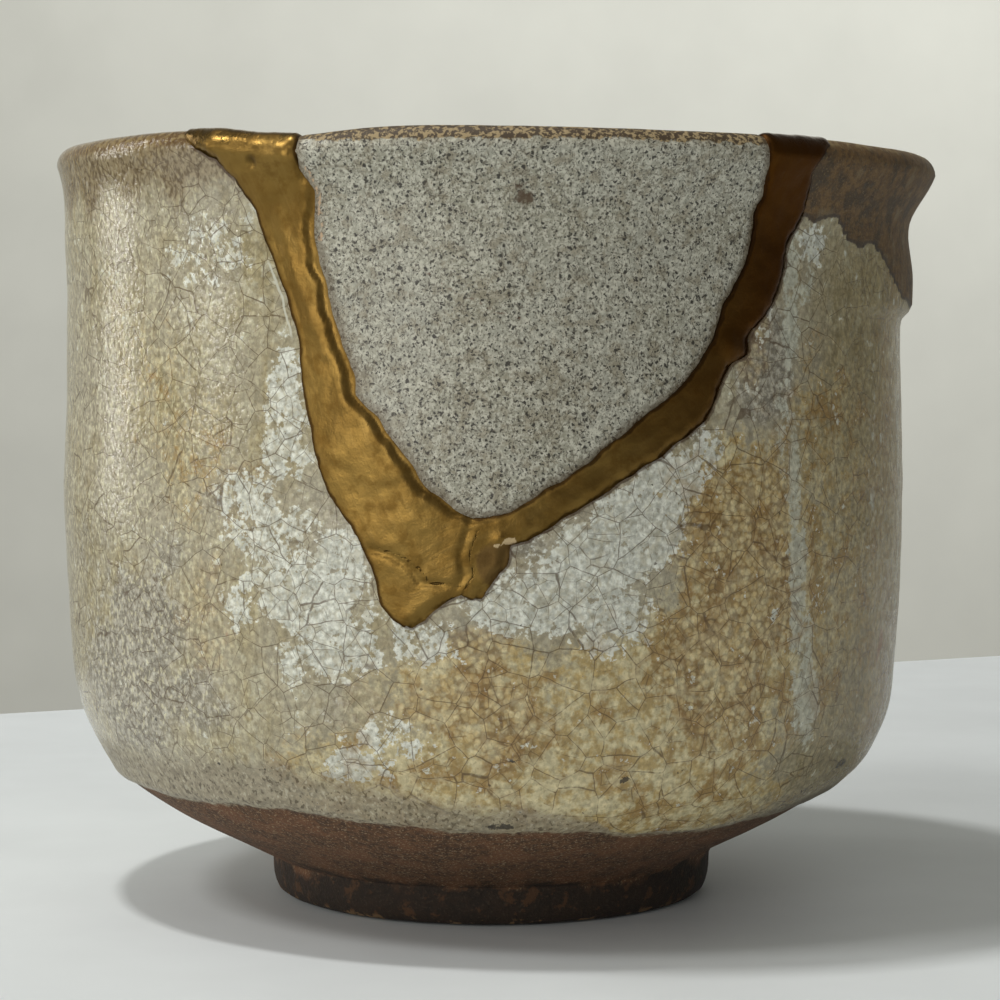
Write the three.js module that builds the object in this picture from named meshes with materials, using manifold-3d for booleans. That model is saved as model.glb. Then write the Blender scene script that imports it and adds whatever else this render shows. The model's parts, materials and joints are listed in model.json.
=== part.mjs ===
// A mended tea bowl: a deep, hand-thrown stoneware bowl on a low cut foot. A bay of its wall is
// missing at the front rim. A grey speckled shard from another pot stands in the bay, and a thick
// gold lacquer seam fills the space between the shard and the bowl, right through the wall.
// Units are millimetres, +Z is up, the front of the bowl faces -Y, and the origin is the centre of
// the foot, on the surface that the bowl stands on.
import * as THREE from 'three';
import { mergeVertices } from 'three/addons/utils/BufferGeometryUtils.js';
import Module from 'manifold-3d';

const wasm = await Module();
wasm.setup();

// ---------------------------------------------------------------- driving dimensions
const COLUMNS = 66; // facets round the bowl
const GIRTH_RADIUS = 55; // a place on the wall is [girth, height], and girth is measured at this radius
const LIP = { radius: 54.6, height: 93.6, halfWidth: 2.0, rise: 2.4, steps: 6 };
const GLAZE_STEP = 0.5; // how far the glaze stands out from the bare clay
const SEAM_PROUD = 0.4; // how far the lacquer stands out from the wall, and up from the lip
const FIT_GAP = 0.3; // space between the broken edges and the lacquer
const ABOVE_RIM = 104; // cutters reach up to here
const CUTTER = { inside: 42, outside: 81, steps: 6 }; // radii where a cutter starts and ends

// The outside of the wall above the foot, and its inside, as [radius, height].
const OUTSIDE = [
  [29.0, 5.0], [36.0, 8.6], [43.0, 12.5], [48.2, 16.4], [51.0, 21.0], [53.1, 27.0], [54.4, 38.0],
  [54.9, 52.0], [54.6, 66.0], [54.4, 78.0], [54.7, 85.0], [55.3, 89.5], [56.6, 93.6],
];
const INSIDE = [
  [15.5, 13.0], [24.0, 14.2], [34.0, 16.8], [41.5, 20.7], [45.8, 26.0], [48.2, 34.0],
  [49.5, 46.0], [49.7, 64.0], [49.8, 80.0], [50.8, 88.0], [52.6, 93.6],
];
// The floor inside is a shallow round pool, and the foot is a ring round a cut recess with a low
// boss in the middle. Both run outwards from the axis.
const TEA_POOL = [[0, 11.4], [7.0, 11.6], [12.0, 12.0]];
const FOOT_UNDERSIDE = [[0, 5.0], [5.0, 5.6], [12.0, 6.0], [18.6, 6.0], [20.4, 4.8], [21.6, 0]];
const FOOT_SIDE = [[27.6, 0], [28.5, 0.9], [28.9, 2.6]];

// Heights of the rows of facets on the wall. The step of the glaze goes between two of them.
const OUTSIDE_ROWS = {
  clay: [5.0, 7.0, 9.2, 11.8],
  glazed: [18.6, 22.0, 26.5, 33.0, 42.0, 53.0, 64.0, 74.4, 76.6, 81.0, 85.0, 88.0, 90.8],
};
const INSIDE_ROWS = [93.0, 90.0, 86.0, 79.0, 68.0, 54.0, 42.0, 33.0, 27.0, 22.6, 19.0, 16.2, 14.2, 13.1];

// The edge of the missing bay, from the left of the rim down to its tip and up to the right of the
// rim, as [girth, height].
const BAY = [
  [-39.2, ABOVE_RIM], [-38.4, 96.0], [-36.0, 94.1], [-33.2, 92.7], [-30.4, 90.2], [-27.9, 86.8],
  [-26.8, 83.6], [-24.8, 79.0], [-23.2, 75.2], [-22.3, 71.0], [-21.7, 65.6], [-20.2, 59.0],
  [-18.8, 55.2], [-17.2, 52.6], [-15.8, 51.2], [-14.0, 47.8], [-12.9, 44.8], [-12.3, 42.2],
  [-11.0, 40.6], [-9.1, 39.5], [-7.6, 40.3], [-5.2, 42.4], [-3.2, 43.4], [-0.9, 42.9],
  [0.6, 45.0], [2.1, 46.8], [2.4, 48.9], [4.7, 49.6], [9.1, 52.2], [14.7, 55.6], [20.6, 59.0],
  [26.4, 63.0], [28.2, 66.0], [30.2, 69.4], [32.6, 70.4], [32.8, 72.8], [35.4, 75.2],
  [37.3, 77.7], [38.3, 80.6], [38.6, 83.0], [40.6, 86.4], [40.7, 89.2], [40.0, 91.4],
  [40.6, 93.6], [42.6, 95.0], [43.2, ABOVE_RIM],
];
// The edge of the lacquer towards the shard, the same way round.
const SHARD_EDGE = [
  [-22.6, ABOVE_RIM], [-22.4, 94.6], [-22.0, 91.4], [-20.5, 89.0], [-20.9, 84.2], [-19.9, 80.0],
  [-18.5, 74.8], [-17.5, 71.4], [-15.8, 68.4], [-15.6, 65.8], [-12.8, 63.2], [-9.2, 58.2],
  [-6.8, 54.9], [-4.2, 53.0], [-1.0, 51.7], [2.4, 52.4], [6.8, 55.0], [12.0, 58.1], [19.1, 63.6],
  [22.4, 65.8], [25.8, 69.3], [27.8, 72.4], [29.1, 75.8], [31.5, 79.3], [33.0, 82.6],
  [33.2, 86.6], [34.1, 88.4], [33.4, 91.6], [33.0, 94.0], [32.5, ABOVE_RIM],
];

// ---------------------------------------------------------------- the hand-made shape
const bell = (x) => Math.exp(-x * x);
const ramp = (x) => THREE.MathUtils.smoothstep(x, 0, 1);

// A profile as a function that gives the radius at a height.
function radiusCurve(points) {
  const line = new THREE.SplineCurve(points.map(([r, z]) => new THREE.Vector2(r, z))).getPoints(300);
  return (height) => {
    const above = line.findIndex((p) => p.y >= height);
    if (above < 0) return line.at(-1).x;
    if (above === 0) return line[0].x;
    const a = line[above - 1];
    const b = line[above];
    return THREE.MathUtils.mapLinear(height, a.y, b.y, a.x, b.x);
  };
}
const outsideRadius = radiusCurve(OUTSIDE);
const insideRadius = radiusCurve(INSIDE);

// Height of the wavy edge where the glaze ends above the foot. Angles run from the front, towards +X.
function glazeEdge(angle) {
  return 15.1 - 1.7 * Math.sin(2 * angle) + 0.3 * Math.sin(9 * angle);
}

// Moves a point of the true round bowl to where the hand-made one has it. The wall leans to the left
// of its foot, is slightly oval, and flares most at the right of the rim, over a thick roll of brown
// glaze. The belly is cut higher there. The rim is lower on the right and dips where the shard starts.
function handMade(angle, radius, height, onOutside) {
  const up = ramp((height - 10) / 22);
  const rim = ramp((height - 84) / 10);
  const right = bell((angle - 1.45) / 0.6);
  const oval = 0.008 * Math.sin(2 * angle) * up;
  const flare = 0.016 * right * rim;
  const roll = 0.028 * bell((angle - 1.5) / 0.35) * ramp((height - 74.4) / 2.2) * ramp((89 - height) / 9);
  const r = radius * (1 + oval + flare + roll * onOutside);
  const cutHigher = 1.3 * right * ramp((height - 3) / 2) * ramp((26 - height) / 12) * onOutside;
  const unevenRim = (0.12 - 0.65 * Math.sin(angle) - 0.95 * bell((angle + 0.42) / 0.15)) * rim;
  const leanX = -1.05 * up + 1.15 * rim;
  const leanY = 0.5 * up - 0.5 * rim;
  return new THREE.Vector3(
    r * Math.sin(angle) + leanX, -r * Math.cos(angle) + leanY, height + cutHigher + unevenRim,
  );
}

// The bowl's section as rows of (angle) => [radius, height, onOutside], from the axis under the
// foot, out, up the outside, over the lip, and down the inside to the axis. onOutside is 1 or 0.
// A grown section is thicker on every side.
function sectionRows(grow) {
  const fixed = ([radius, height]) => () => [radius, height, 0];
  const outer = (height, glaze) => (angle) => {
    const z = height(angle);
    return [outsideRadius(z) + glaze + grow, z, 1];
  };
  const rows = [...FOOT_UNDERSIDE, ...FOOT_SIDE].map(fixed);
  OUTSIDE_ROWS.clay.forEach((z) => rows.push(outer(() => z, 0)));
  rows.push(outer((angle) => glazeEdge(angle) - 0.3, 0));
  rows.push(outer((angle) => glazeEdge(angle) + 0.3, GLAZE_STEP));
  OUTSIDE_ROWS.glazed.forEach((z) => rows.push(outer(() => z, GLAZE_STEP * ramp((40 - z) / 20))));
  for (let i = 0; i <= LIP.steps; i++) {
    const turn = (Math.PI * i) / LIP.steps;
    const across = (LIP.halfWidth + grow) * Math.cos(turn);
    const rise = (LIP.rise + grow) * Math.sin(turn);
    rows.push(fixed([LIP.radius + across, LIP.height + rise]));
  }
  INSIDE_ROWS.forEach((z) => rows.push(fixed([insideRadius(z) - grow, z])));
  rows.push(...TEA_POOL.toReversed().map(fixed));
  return rows;
}

// ---------------------------------------------------------------- solids
// A closed geometry as a manifold-3d solid.
function toSolid(geometry) {
  const bare = geometry.clone();
  bare.deleteAttribute('normal');
  bare.deleteAttribute('uv');
  const merged = mergeVertices(bare, 1e-4);
  const corners = [];
  for (let i = 0; i < merged.index.count; i += 3) {
    const [a, b, c] = [0, 1, 2].map((k) => merged.index.getX(i + k));
    if (a !== b && b !== c && c !== a) corners.push(a, b, c);
  }
  return new wasm.Manifold(new wasm.Mesh({
    numProp: 3,
    vertProperties: merged.attributes.position.array,
    triVerts: new Uint32Array(corners),
  }));
}

// A manifold-3d solid as a geometry with flat facets.
function toGeometry(solid) {
  const mesh = solid.getMesh();
  const geometry = new THREE.BufferGeometry();
  geometry.setAttribute('position', new THREE.BufferAttribute(mesh.vertProperties, 3));
  geometry.setIndex(new THREE.BufferAttribute(mesh.triVerts, 1));
  const flat = geometry.toNonIndexed();
  flat.computeVertexNormals();
  return flat;
}

// The whole bowl, unbroken: a lathe turned from its section, then pushed to its hand-made shape.
function unbrokenBowl(grow = 0) {
  const rows = sectionRows(grow);
  const front = rows.map((row) => new THREE.Vector2(...row(0).slice(0, 2)));
  const bowl = new THREE.LatheGeometry(front, COLUMNS);
  const position = bowl.attributes.position;
  for (let i = 0; i < position.count; i++) {
    const turn = (Math.floor(i / rows.length) % COLUMNS) / COLUMNS;
    const angle = 2 * Math.PI * (turn > 0.5 ? turn - 1 : turn); // from -PI to PI
    position.setXYZ(i, ...handMade(angle, ...rows[i % rows.length](angle)));
  }
  return toSolid(bowl);
}

// Moves the corners of an outline sideways, to the right of the way it runs.
function movedAside(outline, distance) {
  return outline.map((point, i) => {
    const [ax, ay] = outline[Math.max(i - 1, 0)];
    const [bx, by] = outline[Math.min(i + 1, outline.length - 1)];
    const length = Math.hypot(bx - ax, by - ay);
    return [point[0] + (distance * (by - ay)) / length, point[1] - (distance * (bx - ax)) / length];
  });
}

// A cutter that runs out from the axis through the wall, over an outline drawn on the wall.
function cutter(outline) {
  const shape = new THREE.Shape(outline.map(([girth, height]) => new THREE.Vector2(girth, height)));
  const depth = CUTTER.outside - CUTTER.inside;
  const block = new THREE.ExtrudeGeometry(shape, { depth, steps: CUTTER.steps, bevelEnabled: false });
  const position = block.attributes.position;
  for (let i = 0; i < position.count; i++) {
    const angle = position.getX(i) / GIRTH_RADIUS;
    const radius = CUTTER.inside + position.getZ(i);
    position.setXYZ(i, radius * Math.sin(angle), -radius * Math.cos(angle), position.getY(i));
  }
  return toSolid(block);
}

// ---------------------------------------------------------------- the three pieces
const whole = unbrokenBowl();
const grown = unbrokenBowl(SEAM_PROUD);
const bowl = whole.subtract(cutter(BAY));
const shard = whole.intersect(cutter(movedAside(SHARD_EDGE, -FIT_GAP)));
const seam = grown.intersect(cutter(movedAside(BAY, -FIT_GAP))).subtract(cutter(SHARD_EDGE));

function piece(name, solid, color, roughness, metalness = 0) {
  const material = new THREE.MeshStandardMaterial({ color, roughness, metalness, flatShading: true });
  const mesh = new THREE.Mesh(toGeometry(solid), material);
  mesh.name = name;
  return mesh;
}

const teaBowl = new THREE.Group();
teaBowl.name = 'mended_tea_bowl';
teaBowl.add(piece('bowl_body', bowl, 0xb3a78c, 0.42));
teaBowl.add(piece('grey_shard', shard, 0xa3a095, 0.6));
teaBowl.add(piece('gold_seam', seam, 0xb07d2b, 0.35, 1));

export default teaBowl;
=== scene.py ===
# %% [markdown]
# # A mended tea bowl
#
# A deep stoneware tea bowl, thrown by hand and glazed, has lost a bay of its wall at the front. A grey
# speckled shard from another pot stands in the bay, and gold lacquer fills the space between them.
# This lesson builds the three pieces: the bowl, the shard and the seam. Each is turned from one and the
# same section of the wall, so the pieces meet wherever they are cut.
#
# The model of solids is loaded first. It gives the frame: metres, the foot on the floor, the front
# facing -Y.

# %% Load the frame
import json
import math

import bmesh
import bpy
import numpy as np
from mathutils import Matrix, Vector, noise

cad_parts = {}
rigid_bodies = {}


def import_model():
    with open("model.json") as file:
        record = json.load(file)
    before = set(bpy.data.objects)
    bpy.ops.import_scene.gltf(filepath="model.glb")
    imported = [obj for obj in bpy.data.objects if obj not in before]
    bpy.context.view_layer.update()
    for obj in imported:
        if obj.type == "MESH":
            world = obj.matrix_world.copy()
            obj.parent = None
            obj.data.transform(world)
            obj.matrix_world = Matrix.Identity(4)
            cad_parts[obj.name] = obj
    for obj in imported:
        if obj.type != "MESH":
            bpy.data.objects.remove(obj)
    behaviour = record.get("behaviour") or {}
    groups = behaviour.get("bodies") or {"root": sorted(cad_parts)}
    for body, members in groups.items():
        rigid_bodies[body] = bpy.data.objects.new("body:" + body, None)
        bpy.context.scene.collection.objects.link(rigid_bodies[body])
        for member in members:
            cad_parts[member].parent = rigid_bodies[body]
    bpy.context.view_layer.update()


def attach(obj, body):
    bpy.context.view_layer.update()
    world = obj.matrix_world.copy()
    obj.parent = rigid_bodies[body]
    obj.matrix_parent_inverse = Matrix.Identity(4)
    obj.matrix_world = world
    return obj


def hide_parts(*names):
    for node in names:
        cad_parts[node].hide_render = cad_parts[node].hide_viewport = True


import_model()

MM = 0.001

# %% [markdown]
# ## The section of the wall
#
# A potter's bowl is a section turned round an axis. The outside rises from the foot in one full curve,
# stands almost upright, and opens a little at the lip. The inside follows it, 4 to 5 mm away. Both are
# given by a few points as radius and height in millimetres, and a smooth curve runs through them.

# %% Points of the section
OUTSIDE = [
    (29.0, 5.0), (36.0, 8.6), (43.0, 12.5), (48.2, 16.4), (51.0, 21.0), (53.1, 27.0), (54.4, 38.0),
    (54.9, 52.0), (54.6, 66.0), (54.4, 78.0), (54.7, 85.0), (55.3, 89.5), (56.6, 93.6),
]
INSIDE = [
    (15.5, 13.0), (24.0, 14.2), (34.0, 16.8), (41.5, 20.7), (45.8, 26.0), (48.2, 34.0),
    (49.5, 46.0), (49.7, 64.0), (49.8, 80.0), (50.8, 88.0), (52.6, 93.6),
]
TEA_POOL = [(0, 11.4), (7.0, 11.6), (12.0, 12.0), (15.5, 13.0)]
FOOT = [
    (0, 5.0), (5.0, 5.6), (12.0, 6.0), (18.2, 6.0), (19.4, 5.6), (20.4, 4.6), (21.2, 1.0), (21.7, 0.25),
    (22.3, 0), (27.2, 0), (27.9, 0.25), (28.5, 0.9), (28.9, 2.6), (29.0, 5.0),
]
LIP_RADIUS = 54.6
LIP_HEIGHT = 93.6
LIP_HALF = 2.0
LIP_RISE = 2.4


# %% A smooth line through points, and the same line in even steps
def curve_through(points, steps=300):
    """Points of a Catmull-Rom curve through the given ones."""
    last = len(points) - 1
    around = [Vector(points[0]), *map(Vector, points), Vector(points[-1])]
    line = []
    for step in range(steps + 1):
        along = step / steps * last
        k = min(int(along), last - 1)
        t = along - k
        before, start, end, after = around[k : k + 4]
        leave = (end - before) / 2
        arrive = (after - start) / 2
        cubic = 2 * start - 2 * end + leave + arrive
        square = 3 * end - 3 * start - 2 * leave - arrive
        line.append(cubic * t**3 + square * t**2 + leave * t + start)
    return np.array(line)


def even_steps(line, spacing):
    """The line again, with its points about `spacing` apart. Spacing may be a function of height."""
    line = np.asarray(line, float)
    lengths = np.hypot(*np.diff(line, axis=0).T)
    if callable(spacing):
        lengths = lengths / spacing((line[1:, 1] + line[:-1, 1]) / 2)
    else:
        lengths = lengths / spacing
    run = np.concatenate([[0], np.cumsum(lengths)])
    wanted = np.linspace(0, run[-1], max(2, round(run[-1])) + 1)
    return np.column_stack([np.interp(wanted, run, line[:, k]) for k in (0, 1)])


outside_line = curve_through(OUTSIDE)
inside_line = curve_through(INSIDE)
print("wall at mid height:", round(54.9 - 49.6, 1), "mm thick")

# %% [markdown]
# The section starts on the axis under the foot, goes out and up the outside, over the lip, and down
# the inside to the axis again. Rows lie closest together where the glaze ends above the foot, because
# its edge stands out there as a soft step. For a piece of the wall alone the section starts and ends
# at a given height instead.


# %% The section as one line, with the way each point faces
class Section:
    """Rows of the wall's section: radius, height, the way it faces, and 1 on the outside."""

    def __init__(self, parts):
        self.radius = np.concatenate([line[:, 0] for line, _ in parts])
        self.height = np.concatenate([line[:, 1] for line, _ in parts])
        self.outside = np.concatenate([np.full(len(line), float(out)) for line, out in parts])
        run_r = np.gradient(self.radius)
        run_z = np.gradient(self.height)
        length = np.hypot(run_r, run_z)
        self.face_r = run_z / length
        self.face_z = -run_r / length


def lip_line(steps):
    turn = np.linspace(0, math.pi, steps + 1)
    return np.column_stack([LIP_RADIUS + LIP_HALF * np.cos(turn), LIP_HEIGHT + LIP_RISE * np.sin(turn)])


def outside_spacing(height):
    return np.where((height > 11.5) & (height < 19.5), 0.45, 0.95)


def whole_section():
    foot = even_steps(FOOT, 0.9)
    outer = even_steps(outside_line, outside_spacing)[1:-1]
    inner = even_steps(inside_line[::-1], 1.7)[1:]
    pool = even_steps(curve_through(TEA_POOL)[::-1], 1.7)[1:]
    return Section([(foot, 0), (outer, 1), (lip_line(14), 0), (inner, 0), (pool, 0)])


def wall_section(low, fine, coarse):
    """The wall above `low`, with steps of `fine` on the outside and `coarse` on the inside."""
    above_out = outside_line[outside_line[:, 1] >= low]
    above_in = inside_line[inside_line[:, 1] >= low]
    outer = even_steps(above_out, fine)[:-1]
    inner = even_steps(above_in[::-1], coarse)[1:]
    return Section([(outer, 1), (lip_line(round(7 / fine)), 0), (inner, 0)])


bowl_section = whole_section()
print("rows in the bowl's section:", len(bowl_section.radius))

# %% [markdown]
# ## Pushed by hand
#
# No hand-thrown bowl stays true. This one leans to the left of its foot, is slightly oval, flares at
# the right of the rim, and carries a thick roll of brown glaze there. Its rim rises and dips. One
# function moves every point of every piece the same way, so nothing comes apart.


# %% The hand-made shape
def bell(x):
    return np.exp(-x * x)


def ramp(x):
    x = np.clip(x, 0, 1)
    return x * x * (3 - 2 * x)


def hand_made(angle, radius, height, outside):
    """Where a point of the true round bowl lies on the hand-made one. Angles run from the front."""
    up = ramp((height - 10) / 22)
    rim = ramp((height - 84) / 10)
    right = bell((angle - 1.45) / 0.6)
    oval = 0.008 * np.sin(2 * angle) * up
    flare = 0.016 * right * rim
    roll = 0.028 * bell((angle - 1.5) / 0.35) * ramp((height - 74.4) / 2.2) * ramp((89 - height) / 9)
    radius = radius * (1 + oval + flare + roll * outside)
    cut_higher = 1.3 * right * ramp((height - 3) / 2) * ramp((26 - height) / 12) * outside
    uneven_rim = (0.12 - 0.65 * np.sin(angle) - 0.95 * bell((angle + 0.42) / 0.15)) * rim
    lean_x = -1.05 * up + 1.15 * rim
    lean_y = 0.5 * up - 0.5 * rim
    x = radius * np.sin(angle) + lean_x
    y = -radius * np.cos(angle) + lean_y
    return np.column_stack([x, y, height + cut_higher + uneven_rim])


# %% [markdown]
# The glaze was poured and stopped in a wavy line above the foot, where it gathered into a rounded
# edge about half a millimetre thick. The body under it has faint rings from the fingers and shallow
# hollows from the trimming knife.


# %% Edge and thickness of the glaze, rings and hollows
def noise_over(points, size, seed):
    """Smooth noise from -1 to 1 at each point, with lumps about `size` mm wide."""
    sizes = np.broadcast_to(size, 3)
    shift = Vector((seed * 7.3, seed * 3.1, seed * 5.7))
    return np.array([noise.noise(Vector(p) + shift) for p in points / sizes])


def glaze_edge(angle):
    """Height of the glaze's lower edge."""
    ring = np.column_stack([np.sin(angle), np.cos(angle), 0 * angle]) * 45
    uneven = 0.35 * noise_over(ring, 5, 1) + 0.22 * noise_over(ring, 1.6, 2)
    return 15.1 - 1.7 * np.sin(2 * angle) + 0.3 * np.sin(9 * angle) + uneven


def glaze_thickness(above_edge, height):
    """Thickness of the glaze. It stands fullest just above its edge."""
    step = 0.5 * ramp((above_edge + 0.45) / 0.8)
    bead = 0.22 * bell((above_edge - 0.7) / 0.8)
    return (step + bead) * ramp((40 - height) / 20)


def body_relief(points):
    """Throwing rings and trimmed hollows, in millimetres, never proud of the true surface."""
    rings = noise_over(points, (60, 60, 4.5), 3)
    hollows = noise_over(points, (16, 16, 11), 4)
    lumps = noise_over(points, (3.2, 3.2, 2.6), 5)
    return 0.09 * rings + 0.16 * hollows + 0.035 * lumps - 0.16


# %% [markdown]
# ## Turning
#
# A section is spun round the axis with `bmesh.ops.spin`. The whole bowl is a full spin that merges
# its first and last rows. A piece of the wall is a partial spin of a closed section, which leaves a
# closed block. Each vertex remembers its row, so that its place can be worked out afterwards.


# %% Spin a section
def spun(section, columns, start, sweep):
    """A turned shape as a bmesh, with the row of each vertex in the layer `row`."""
    work = bmesh.new()
    row_of = work.verts.layers.int.new("row")
    line = []
    for row, (radius, height) in enumerate(zip(section.radius, section.height)):
        vert = work.verts.new((radius * math.sin(start), -radius * math.cos(start), height))
        vert[row_of] = row
        line.append(vert)
    full = sweep > 6.28
    if full:
        sheet = [work.edges.new(pair) for pair in zip(line, line[1:])]
    else:
        face = work.faces.new(line)
        sheet = [*face.edges, face]
    bmesh.ops.spin(
        work, geom=[*line, *sheet], cent=(0, 0, 0), axis=(0, 0, 1), dvec=(0, 0, 0),
        angle=sweep, steps=columns, use_merge=full, use_duplicate=False,
    )
    bmesh.ops.remove_doubles(work, verts=work.verts, dist=1e-4)
    bmesh.ops.dissolve_degenerate(work, edges=work.edges, dist=1e-5)
    bmesh.ops.recalc_face_normals(work, faces=work.faces)
    return work


# %% Push the turned shape to where the hand-made one lies
def pushed(work, section, relief=body_relief, proud=None):
    """Moves every vertex to the hand-made wall. `proud` gives how far the surface stands out there."""
    row_of = work.verts.layers.int["row"]
    rows = np.array([vert[row_of] for vert in work.verts])
    true = np.array([vert.co for vert in work.verts])
    angle = np.arctan2(true[:, 0], -true[:, 1])
    on_axis = np.hypot(true[:, 0], true[:, 1]) < 1e-3
    angle[on_axis] = 0
    radius = section.radius[rows]
    height = section.height[rows].copy()
    outside = section.outside[rows]
    stand = np.zeros(len(rows))
    if relief is not None:
        stand += relief(true)
    if proud is not None:
        stand += proud(angle * GIRTH_RADIUS, height)
    near_foot = (outside > 0) & (height < 40)
    edge = glaze_edge(angle[near_foot])
    low = height[near_foot]
    shifted = low + (edge - 15.1) * bell((low - 15.1) / 3.0)
    radius[near_foot] += glaze_thickness(shifted - edge, low)
    radius[near_foot] += np.interp(shifted, outside_line[:, 1], outside_line[:, 0])
    radius[near_foot] -= np.interp(low, outside_line[:, 1], outside_line[:, 0])
    height[near_foot] = shifted
    radius = radius + stand * section.face_r[rows]
    height = np.maximum(height + stand * section.face_z[rows], 0)
    radius[on_axis] = 0
    for vert, place in zip(work.verts, hand_made(angle, radius, height, outside)):
        vert.co = place * MM


# %% [markdown]
# ## The break
#
# Two lines are drawn on the wall: the edge of the missing bay, and the edge of the shard inside it.
# The lacquer lies between them. A place on the wall is given as girth, measured round the front at a
# radius of 55 mm, and height. Broken ware never has a smooth edge, so the lines get a fine wobble.

# %% Edges of the bay and of the shard
GIRTH_RADIUS = 55
ABOVE_RIM = 104
BAY = [
    (-39.2, ABOVE_RIM), (-38.4, 96.0), (-36.0, 94.1), (-33.2, 92.7), (-30.4, 90.2), (-27.9, 86.8),
    (-26.8, 83.6), (-24.8, 79.0), (-23.2, 75.2), (-22.3, 71.0), (-21.7, 65.6), (-20.2, 59.0),
    (-18.8, 55.2), (-17.2, 52.6), (-15.8, 51.2), (-14.0, 47.8), (-12.9, 44.8), (-12.3, 42.2),
    (-11.0, 40.6), (-9.1, 39.5), (-7.6, 40.3), (-5.2, 42.4), (-3.2, 43.4), (-0.9, 42.9), (0.6, 45.0),
    (2.1, 46.8), (2.4, 48.9), (4.7, 49.6), (9.1, 52.2), (14.7, 55.6), (20.6, 59.0), (26.4, 63.0),
    (28.2, 66.0), (30.2, 69.4), (32.6, 70.4), (32.8, 72.8), (35.4, 75.2), (37.3, 77.7), (38.3, 80.6),
    (38.6, 83.0), (40.6, 86.4), (40.7, 89.2), (40.0, 91.4), (40.6, 93.6), (42.6, 95.0),
    (43.2, ABOVE_RIM),
]
SHARD_EDGE = [
    (-22.6, ABOVE_RIM), (-22.4, 94.6), (-22.0, 91.4), (-20.5, 89.0), (-20.9, 84.2), (-19.9, 80.0),
    (-18.5, 74.8), (-17.5, 71.4), (-15.8, 68.4), (-15.6, 65.8), (-12.8, 63.2), (-9.2, 58.2),
    (-6.8, 54.9), (-4.2, 53.0), (-1.0, 51.7), (2.4, 52.4), (6.8, 55.0), (12.0, 58.1), (19.1, 63.6),
    (22.4, 65.8), (25.8, 69.3), (27.8, 72.4), (29.1, 75.8), (31.5, 79.3), (33.0, 82.6), (33.2, 86.6),
    (34.1, 88.4), (33.4, 91.6), (33.0, 94.0), (32.5, ABOVE_RIM),
]


# %% A drawn line with a broken edge's wobble, and the same line moved aside
def broken_line(points, seed):
    line = even_steps(points, 0.4)
    coarse = [noise.noise_vector(Vector((*p, seed)) / 2.6) for p in line]
    fine = [noise.noise_vector(Vector((*p, seed + 9)) / 0.9) for p in line]
    wobble = 0.28 * np.array(coarse)[:, :2] + 0.10 * np.array(fine)[:, :2]
    return line + wobble


def moved_aside(line, distance):
    """Moves a line to the right of the way it runs."""
    run = np.gradient(line, axis=0)
    run /= np.hypot(run[:, 0], run[:, 1])[:, None]
    return line + distance * np.column_stack([run[:, 1], -run[:, 0]])


bay_edge = broken_line(BAY, 1)
shard_edge = broken_line(SHARD_EDGE, 4)
print("length of the seam's edges:", round(0.4 * len(bay_edge)), "and", round(0.4 * len(shard_edge)), "mm")


# %% Distance of places from a line, positive on the side of the bay
def distance_inside(line, girth, height):
    """How far each place lies inside the outline that the line closes above the rim."""
    places = np.column_stack([girth, height])
    starts = line[:-1]
    runs = np.diff(line, axis=0)
    squares = (runs**2).sum(1)
    best = np.full(len(places), 1e9)
    inside = np.zeros(len(places), bool)
    for start, run, square in zip(starts, runs, squares):
        offset = places - start
        along = np.clip(offset @ run / square, 0, 1)
        away = offset - along[:, None] * run
        best = np.minimum(best, (away**2).sum(1))
        crosses = (start[1] > places[:, 1]) != (start[1] + run[1] > places[:, 1])
        if abs(run[1]) > 1e-9:
            at = start[0] + run[0] * (places[:, 1] - start[1]) / run[1]
            inside ^= crosses & (places[:, 0] < at)
    return np.where(inside, 1, -1) * np.sqrt(best)


# %% Soft splashes on the wall
def splashes(girth, height, places):
    """The fullest of some soft splashes, each with a place, half its width and half its height."""
    amount = np.zeros(len(girth))
    for at_girth, at_height, half_width, half_height, full in places:
        away = np.hypot((girth - at_girth) / half_width, (height - at_height) / half_height)
        amount = np.maximum(amount, full * ramp(1.5 - away))
    return amount


# %% [markdown]
# A cutter is the drawn outline, extruded outwards from the axis through the wall. It is made as one
# face on a narrow drum inside the bowl. Extruding the face and pushing the copy out to a wide drum
# gives the block. The Boolean modifier then cuts with it.


# %% Cutters, and cutting with them
DRUM_INSIDE = 40
DRUM_OUTSIDE = 84


def cutter(line, name):
    work = bmesh.new()
    corners = []
    for girth, height in line:
        angle = girth / GIRTH_RADIUS
        place = (DRUM_INSIDE * math.sin(angle), -DRUM_INSIDE * math.cos(angle), height)
        corners.append(work.verts.new(Vector(place) * MM))
    face = work.faces.new(corners)
    faces = bmesh.ops.triangulate(work, faces=[face])["faces"]
    steps = 4
    for step in range(steps):
        pushed_out = bmesh.ops.extrude_face_region(work, geom=faces)["geom"]
        if step > 0:
            bmesh.ops.delete(work, geom=faces, context="FACES_ONLY")
        faces = [part for part in pushed_out if isinstance(part, bmesh.types.BMFace)]
        moving = [part for part in pushed_out if isinstance(part, bmesh.types.BMVert)]
        reach = 1 + (DRUM_OUTSIDE / DRUM_INSIDE - 1) * (step + 1) / steps
        was = 1 + (DRUM_OUTSIDE / DRUM_INSIDE - 1) * step / steps
        bmesh.ops.scale(work, verts=moving, vec=(reach / was, reach / was, 1))
    bmesh.ops.recalc_face_normals(work, faces=work.faces)
    return finished(work, name)


def finished(work, name):
    """Turns a bmesh into an object of the scene."""
    mesh = bpy.data.meshes.new(name)
    work.to_mesh(mesh)
    work.free()
    piece = bpy.data.objects.new(name, mesh)
    bpy.context.scene.collection.objects.link(piece)
    return piece


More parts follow.
